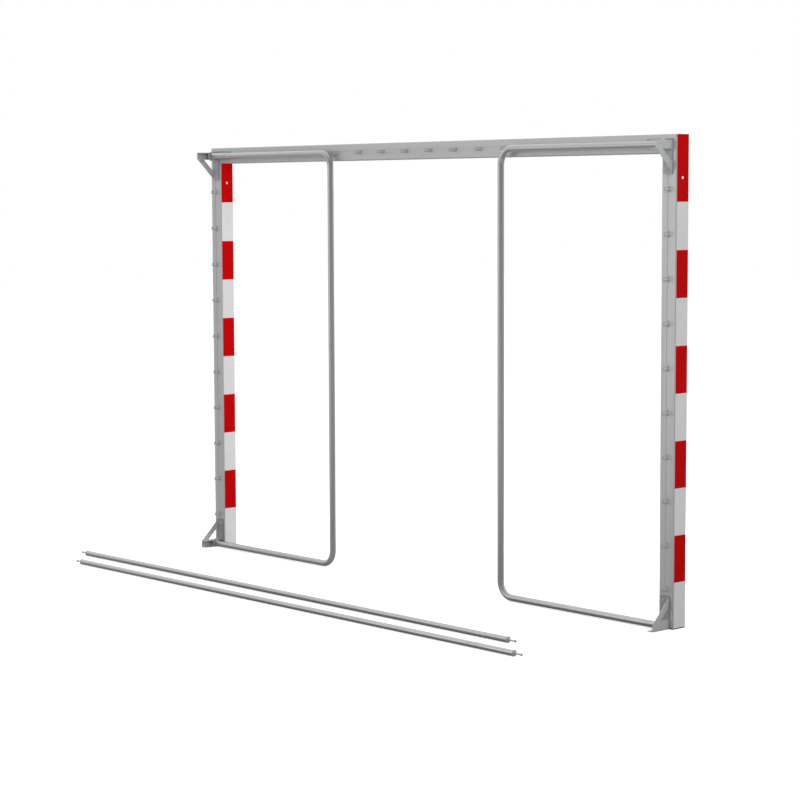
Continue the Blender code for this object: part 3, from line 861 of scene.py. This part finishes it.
def makeBracket(name, side, top):
    b = bracket
    up = -1 if top else 1  # the upper bracket is the lower one upside down
    flip = hoop["top"] + hoop["bottom"]

    def at(x, y, z):
        return goal(side * x, y, flip - z if top else z)

    base = addBox(name, at(b["outerX"] - b["baseWidth"], b["frontY"], 0),
                  at(b["outerX"], b["baseY"], b["baseHeight"]))
    if top:
        leg = addBox("leg", goal(side * (b["outerX"] - b["legLength"]), b["frontY"],
                                 b["legTop"] - b["legHeight"]),
                     goal(side * b["outerX"], b["baseY"], b["legTop"]))
        combine(base, leg, "UNION")
    roundEdges(base, edgeRunsAlong(1), b["corner"], 4)

    # bent channel, open towards the mouth and to the rear
    insideY = b["baseY"] - b["overlap"]
    arm = addBox("arm", at(b["outerX"] - b["armWidth"], insideY, 0),
                 at(b["outerX"], b["rearY"], b["height"]))
    foldPlace = at(b["outerX"], 0, 0)
    webX = b["outerX"] - b["web"]

    def isFold(edge):
        place = edge.verts[0].co
        return (edgeRunsAlong(1)(edge) and abs(place.x - foldPlace.x) < near
                and abs(place.z - foldPlace.z) < near)

    def isInnerFold(edge):
        return edgeRunsAlong(1)(edge) and abs(edge.verts[0].co.x - at(webX, 0, 0).x) < near

    roundEdges(arm, isFold, b["bendOut"], 5)
    core = addBox("core", at(b["outerX"] - b["armWidth"] - 2 * past,
                             b["baseY"] - 0.5 * b["overlap"], b["flange"]),
                  at(webX, b["rearY"] + 2 * past, b["height"] - b["flange"]))
    roundEdges(core, isInnerFold, b["innerBend"], 3)
    combine(arm, core)

    # brace: a triangle with a window, cut by 45 degree lines
    braceTop = b["height"] + b["braceEndY"] - insideY
    slope = Vector((0, 1, up)).normalized()
    edgePlace = at(b["outerX"], b["braceEndY"], b["height"])
    brace = addBox("brace", at(webX, insideY, b["height"] - b["overlap"]),
                   at(b["outerX"], b["rearY"], braceTop))
    trimPiece(brace, edgePlace, slope)
    window = addBox("window", at(b["outerX"] - 2 * past, insideY - 2 * past,
                                 b["height"] - 3 * b["overlap"]),
                    at(b["outerX"] + 2 * past, b["rearY"], braceTop))
    trimPiece(window, edgePlace - slope * b["braceWidth"], slope)
    combine(brace, window)
    combine(arm, brace, "UNION")
    combine(base, arm, "UNION")
    combine(base, addRound("bore", hoop["bore"], at(hoop["hingeX"], hoop["hingeY"], -2 * past),
                           at(hoop["hingeX"], hoop["hingeY"], b["height"] + 2 * past), 32))
    turnFacesOut(base)
    softenEdges(base, b["rim"], 2, 50)

    # weld seams where the arm and the brace meet the plate: (x, height) of both ends
    gap = b["beadEnd"]
    inner = b["outerX"] - b["armWidth"] + gap
    pieces = [base]
    for start, end in (((inner, b["height"]), (webX - gap / 2, b["height"])),
                       ((webX, b["height"] + b["braceBead"]), (webX, braceTop - gap)),
                       ((inner, b["flange"]), (webX - gap / 2, b["flange"])),
                       ((webX, b["flange"] + gap), (webX, b["height"] - b["flange"] - gap))):
        pieces.append(weldBead(at(start[0], b["baseY"], start[1]),
                               at(end[0], b["baseY"], end[1]), b["bead"]))
    return joinPieces(name, pieces)


for word, side in ends:
    for level in ("bottom", "top"):
        node = f"bracket_{word}_{level}"
        made = makeBracket(node, side, level == "top")
        finishPiece(made, node + "_welded", "frame", bracketZinc, [node])
print("brackets ready")

# hinge pins with a low domed head; the upper ones carry a nut and washer
pin = {
    "shaft": 4 * mm,
    "head": 8 * mm,
    "headHeight": 5 * mm,
    "gap": 0.3 * mm,
    "tipStart": 0.9 * mm,
    "tipBevel": 0.6 * mm,
    "washer": 6.75 * mm,
    "washerThick": 1.2 * mm,
    "washerRim": 0.3 * mm,
    "nut": 6.7 * mm,
    "nutHeight": 4.7 * mm,
    "nutRim": 0.4 * mm,
    "socket": 2.9 * mm,
    "socketDepth": 2.4 * mm,
    "dome": ((0.40, 1.0), (0.62, 0.93), (0.82, 0.70), (0.95, 0.42), (1.0, 0.24), (1.0, 0.06),
             (0.97, 0.0)),  # shares of the head's radius and height
}


def makePin(name, side, top):
    p = pin
    seat = bracket["height"] + p["gap"]
    shaft = p["shaft"]
    outline = [(share * p["head"], seat + rise * p["headHeight"]) for share, rise in p["dome"]]
    outline.append((shaft, seat))
    under = -p["gap"]
    if top:
        washer, rim = p["washer"], p["washerRim"]
        washerEnd, tip = under - p["washerThick"], under - p["nutHeight"]
        outline += [(shaft, under), (washer - rim, under), (washer, under - rim),
                    (washer, washerEnd + rim), (washer - rim, washerEnd), (shaft, washerEnd),
                    (shaft, tip + 0.2 * mm), (0.8 * shaft, tip)]
    else:
        outline += [(shaft, p["tipStart"]), (shaft - p["tipBevel"], p["gap"])]
    height = hoop["top"] - hoop["bottom"] if top else 0.0
    place = goal(side * hoop["hingeX"], hoop["hingeY"], height)
    made = turnPiece(name, outline, place)
    upwards = Vector((0, 0, 1))
    crown = place + upwards * (seat + p["headHeight"])
    combine(made, addRound("socket", p["socket"], crown - upwards * p["socketDepth"],
                           crown + upwards * past, 6))
    if top:
        nut = addRound("nut", p["nut"], place + upwards * (tip + 0.5 * mm),
                       place + upwards * (washerEnd + 0.1 * mm), 6)
        softenEdges(nut, p["nutRim"], 2)
        combine(made, nut, "UNION")
    return made


for word, side in ends:
    for level in ("bottom", "top"):
        node = f"hinge_pin_{word}_{level}"
        made = makePin(node, side, level == "top")
        finishPiece(made, node + "_turned", "frame", turnedZinc, [node])
print("pins ready")

# net hooks: a strip that lies in the groove and a C of round wire that opens at the top
netHook = {
    "base": 26 * mm,
    "baseWidth": 15.4 * mm,
    "thick": 2.8 * mm,
    "sink": 1.3 * mm,
    "corner": 3.5 * mm,
    "rim": 0.45 * mm,
    "full": (26 * mm, 17 * mm, 4.4 * mm, 6 * mm),  # ring, rise, wire and neck
    "low": (16 * mm, 15 * mm, 3 * mm, 0.0),  # the same, behind the folded tubes
    "lowReach": 25 * mm,  # a low one stands out less than this
    "rivet": ((2.2 * mm, -0.3 * mm), (2.2 * mm, 0.2 * mm), (1.8 * mm, 0.7 * mm),
              (0.9 * mm, 0.95 * mm)),  # radius and height over the strip
    "rivetPlace": 0.66,  # from the strip's middle to its end
}


def makeHook(name, sizes, upright):
    h = netHook
    ring, rise, wire, neck = sizes
    front = h["thick"] - h["sink"]
    across = h["baseWidth"] / 2
    along = h["base"] / 2
    corner = (across, along) if upright else (along, across)
    strip = addBox(name, (-corner[0], -h["sink"], -corner[1]), (corner[0], front, corner[1]))
    roundEdges(strip, edgeRunsAlong(1), h["corner"], 4)
    softenEdges(strip, h["rim"], 2)

    bend = (rise - wire) / 2
    far = front + neck + ring - wire / 2 - bend  # centre of the round far end
    wireEnd = front + neck + ring / 2
    hookWire = sweepCircle(
        "wire", (0, 0, -bend), (0, 1, 0), wire / 2, 16,
        [("run", (0, far, 0)),
         ("bend", (0, far, 0), (1, 0, 0), math.pi, 16),
         ("run", (0, wireEnd - far - wire, 0))])
    makeActive(hookWire)
    bpy.ops.object.mode_set(mode="EDIT")
    bpy.ops.mesh.select_all(action="DESELECT")
    bpy.ops.mesh.select_non_manifold()
    bpy.ops.mesh.edge_face_add()
    bpy.ops.object.mode_set(mode="OBJECT")
    turnFacesOut(hookWire)
    softenEdges(hookWire, wire * 0.3, 3, 60)
    combine(strip, hookWire, "UNION")
    collar = turnPiece("collar", [(0.75 * wire, 0), (0.75 * wire, front),
                                  (0.62 * wire, front + 0.9 * mm),
                                  (0.52 * wire, front + 1.8 * mm)], (0, 0, -bend), (0, 1, 0), 20)
    combine(strip, collar, "UNION")
    aside = along * h["rivetPlace"]
    rivet = turnPiece("rivet", [(radius, front + height) for radius, height in h["rivet"]],
                      (0, 0, aside) if upright else (aside, 0, 0), (0, 1, 0), 16)
    combine(strip, rivet, "UNION")
    return strip


hookModels = {
    "upright": makeHook("uprightHook", netHook["full"], True),
    "level": makeHook("levelHook", netHook["full"], False),
    "low": makeHook("lowHook", netHook["low"], False),
}
for node in sorted(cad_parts):
    if not node.startswith("hook_"):
        continue
    low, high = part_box(node)
    kind = "upright"
    if node.startswith("hook_crossbar"):
        kind = "low" if high[1] - low[1] < netHook["lowReach"] else "level"
    height = (low[2] + high[2]) / 2 if kind == "upright" else goalTop - profile["size"] / 2
    place = ((low[0] + high[0]) / 2, low[1] + netHook["sink"], height)
    clip = movedCopy(hookModels[kind], node, place)
    finishPiece(clip, node + "_clip", "frame", hookPlastic, [node])
for model in hookModels.values():
    bpy.data.objects.remove(model, do_unlink=True)
print("hooks ready")

# link bars: a plain tube with a flanged and headed stud in each end
linkBar = {
    "radius": 12.5 * mm,
    "wall": 2 * mm,
    "flange": 13.5 * mm,
    "flangeThick": 4 * mm,
    "flangeRim": 0.8 * mm,
    "gap": 0.3 * mm,
    "neck": 4 * mm,
    "head": 6 * mm,
    "reach": 39 * mm,
    "plug": 30 * mm,
    "fit": 0.6 * mm,
    "rim": 0.4 * mm,
}


def makeStud(name, place, side):
    v = linkBar
    tip = v["flangeThick"] + v["reach"] + v["head"]
    f = v["flange"]
    outline = []
    for degrees in (80, 62, 42, 20, 0, -20, -40):
        angle = math.radians(degrees)
        outline.append((v["head"] * math.cos(angle), tip - v["head"] + v["head"] * math.sin(angle)))
    plug = v["radius"] - v["wall"] - v["fit"]
    outline += [
        (v["neck"], tip - 1.75 * v["head"]), (v["neck"], v["flangeThick"] + 1.2 * mm),
        (v["neck"] + 1.0 * mm, v["flangeThick"]), (f - v["flangeRim"], v["flangeThick"]),
        (f, v["flangeThick"] - v["flangeRim"]), (f, 1.0 * mm), (f - 0.7 * mm, v["gap"]),
        (plug, v["gap"]), (plug, -v["plug"])]
    return turnPiece(name, outline, place, (side, 0, 0))


for node in ("bar_upper", "bar_lower"):
    low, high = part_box(node)
    middle = Vector([(low[i] + high[i]) / 2 for i in range(3)])
    half = Vector(((high[0] - low[0]) / 2, 0, 0))
    tube = sweepCircle(node, middle - half, (1, 0, 0), linkBar["radius"], 40, [("run", half * 2)])
    turnFacesOut(tube)
    thickenWall(tube, linkBar["wall"])
    softenEdges(tube, linkBar["rim"], 2, 50)
    finishPiece(tube, node + "_tube", node, barTube, [node])
    for word, side in ends:
        studNode = f"{node}_stud_{word}"
        stud = makeStud(studNode, middle + half * side, side)
        finishPiece(stud, studNode + "_turned", node, turnedZinc, [studNode])
print("bars ready")

# studio: a pale floor, soft daylight from all round and three soft lamps
studio = {
    "floorSize": 60,
    "floorRoughness": 0.9,
    "floorSeen": "#F4F4F4",
    "floorGlow": 0.5,
    "floorNear": "#999999",  # what lights the goal from below, near it and further away
    "floorFar": "#CCCCCC",
    "floorMiddle": (-1.0, 0.8, 0.0),
    "floorChange": (1.2, 4.2),
    "skyLight": 0.68,
    "skyMirrored": (0.28, 1.00),  # the dark and the bright side, as metal shows them
    "brightSide": (0.75, -0.65, 0.20),
    "skyChange": 0.8,
    "lamps": {  # place, what it points at, width, height, watts, seen in metal
        "keyLamp": ((-6.0, 4.0, 4.5), (0.0, 0.2, 1.0), 3.0, 3.0, 150, False),
        "rearLamp": ((2.6, 5.6, 1.5), (-1.0, 0.0, 1.2), 3.0, 3.0, 19, True),
        "fillLamp": ((-0.3, -2.2, 1.6), (1.5, 0.0, 1.0), 1.5, 1.5, 40, False),
    },
}

bpy.ops.mesh.primitive_plane_add(size=studio["floorSize"], location=(0, 0, 0))
floor = bpy.context.active_object
floor.name = "studio_floor"
floorFinish, tree, shader = startMaterial("paleStudioFloor", studio["floorRoughness"])
setInputs(tree, shader, {"Base Color": linear(studio["floorSeen"]), "Specular IOR Level": 0.0})
rays = addNode(tree, "LightPath")
glow = addNode(tree, "Emission", None, {"Color": (1, 1, 1, 1), "Strength": studio["floorGlow"]})
seen = addNode(tree, "AddShader", None, {0: shader, 1: glow})
where = addNode(tree, "TexCoord").outputs["Object"]
away = addNode(tree, "VectorMath", {"operation": "DISTANCE"},
               {0: where, 1: goal(*studio["floorMiddle"])})
away = addNode(tree, "MapRange", None, {0: away.outputs["Value"], 1: studio["floorChange"][0],
                                        2: studio["floorChange"][1]})
tone = addNode(tree, "Mix", asColour,
               {0: away, 6: linear(studio["floorNear"]), 7: linear(studio["floorFar"])})
lit = addNode(tree, "BsdfDiffuse", None, {"Color": tone.outputs[2]})
both = addNode(tree, "MixShader", None, {0: rays.outputs["Is Camera Ray"], 1: lit, 2: seen})
setInputs(tree, tree.nodes["Material Output"], {"Surface": both})
floor.data.materials.append(floorFinish)

world = bpy.data.worlds.new("softStudio")
bpy.context.scene.world = world
world.use_nodes = True
tree = world.node_tree
rays = addNode(tree, "LightPath")
towards = addNode(tree, "TexCoord").outputs["Generated"]
facing = addNode(tree, "VectorMath", {"operation": "DOT_PRODUCT"},
                 {0: towards, 1: Vector(studio["brightSide"]).normalized()})
mirrored = addNode(tree, "MapRange", None,
                   {0: facing.outputs["Value"], 1: -studio["skyChange"], 2: studio["skyChange"],
                    3: studio["skyMirrored"][0], 4: studio["skyMirrored"][1]})
unseen = addNode(tree, "Mix", None,
                 {0: rays.outputs["Is Glossy Ray"], 2: studio["skyLight"], 3: mirrored})
strength = addNode(tree, "Mix", None, {0: rays.outputs["Is Camera Ray"], 2: unseen, 3: 1.0})
setInputs(tree, tree.nodes["Background"], {"Strength": strength, "Color": (1, 1, 1, 1)})

for name, (place, target, width, height, watts, inMetal) in studio["lamps"].items():
    bpy.ops.object.light_add(type="AREA", location=goal(*place))
    lamp = bpy.context.active_object
    lamp.name = name
    lamp.data.shape = "RECTANGLE"
    lamp.data.size = width
    lamp.data.size_y = height
    lamp.data.energy = watts
    lamp.rotation_euler = (goal(*place) - goal(*target)).to_track_quat("Z", "Y").to_euler()
    lamp.visible_camera = False
    lamp.visible_glossy = inMetal

# the photograph's view, fitted to the frame's corners and stripes
view = {
    "place": (-7.5612, 7.0310, 1.8227),
    "yaw": 0.83291,
    "pitch": 0.09215,
    "roll": -0.00375,
    "focal": 2192.96,  # in pixels of a picture that is 800 wide
    "pictureWidth": 800,
    "sensor": 36,
    "farthest": 200,
}
bpy.ops.object.camera_add(location=goal(*view["place"]))
camera = bpy.context.active_object
forward = Vector((math.sin(view["yaw"]) * math.cos(view["pitch"]),
                  -math.cos(view["yaw"]) * math.cos(view["pitch"]), -math.sin(view["pitch"])))
flatRight = forward.cross(Vector((0, 0, 1))).normalized()
flatUp = flatRight.cross(forward)
right = flatRight * math.cos(view["roll"]) + flatUp * math.sin(view["roll"])
up = flatUp * math.cos(view["roll"]) - flatRight * math.sin(view["roll"])
camera.rotation_euler = Matrix((right, up, -forward)).transposed().to_euler()
camera.data.sensor_width = view["sensor"]
camera.data.lens = view["focal"] / view["pictureWidth"] * view["sensor"]
camera.data.clip_end = view["farthest"]
bpy.context.scene.camera = camera
bpy.context.scene.view_settings.view_transform = "Standard"
print("studio ready")
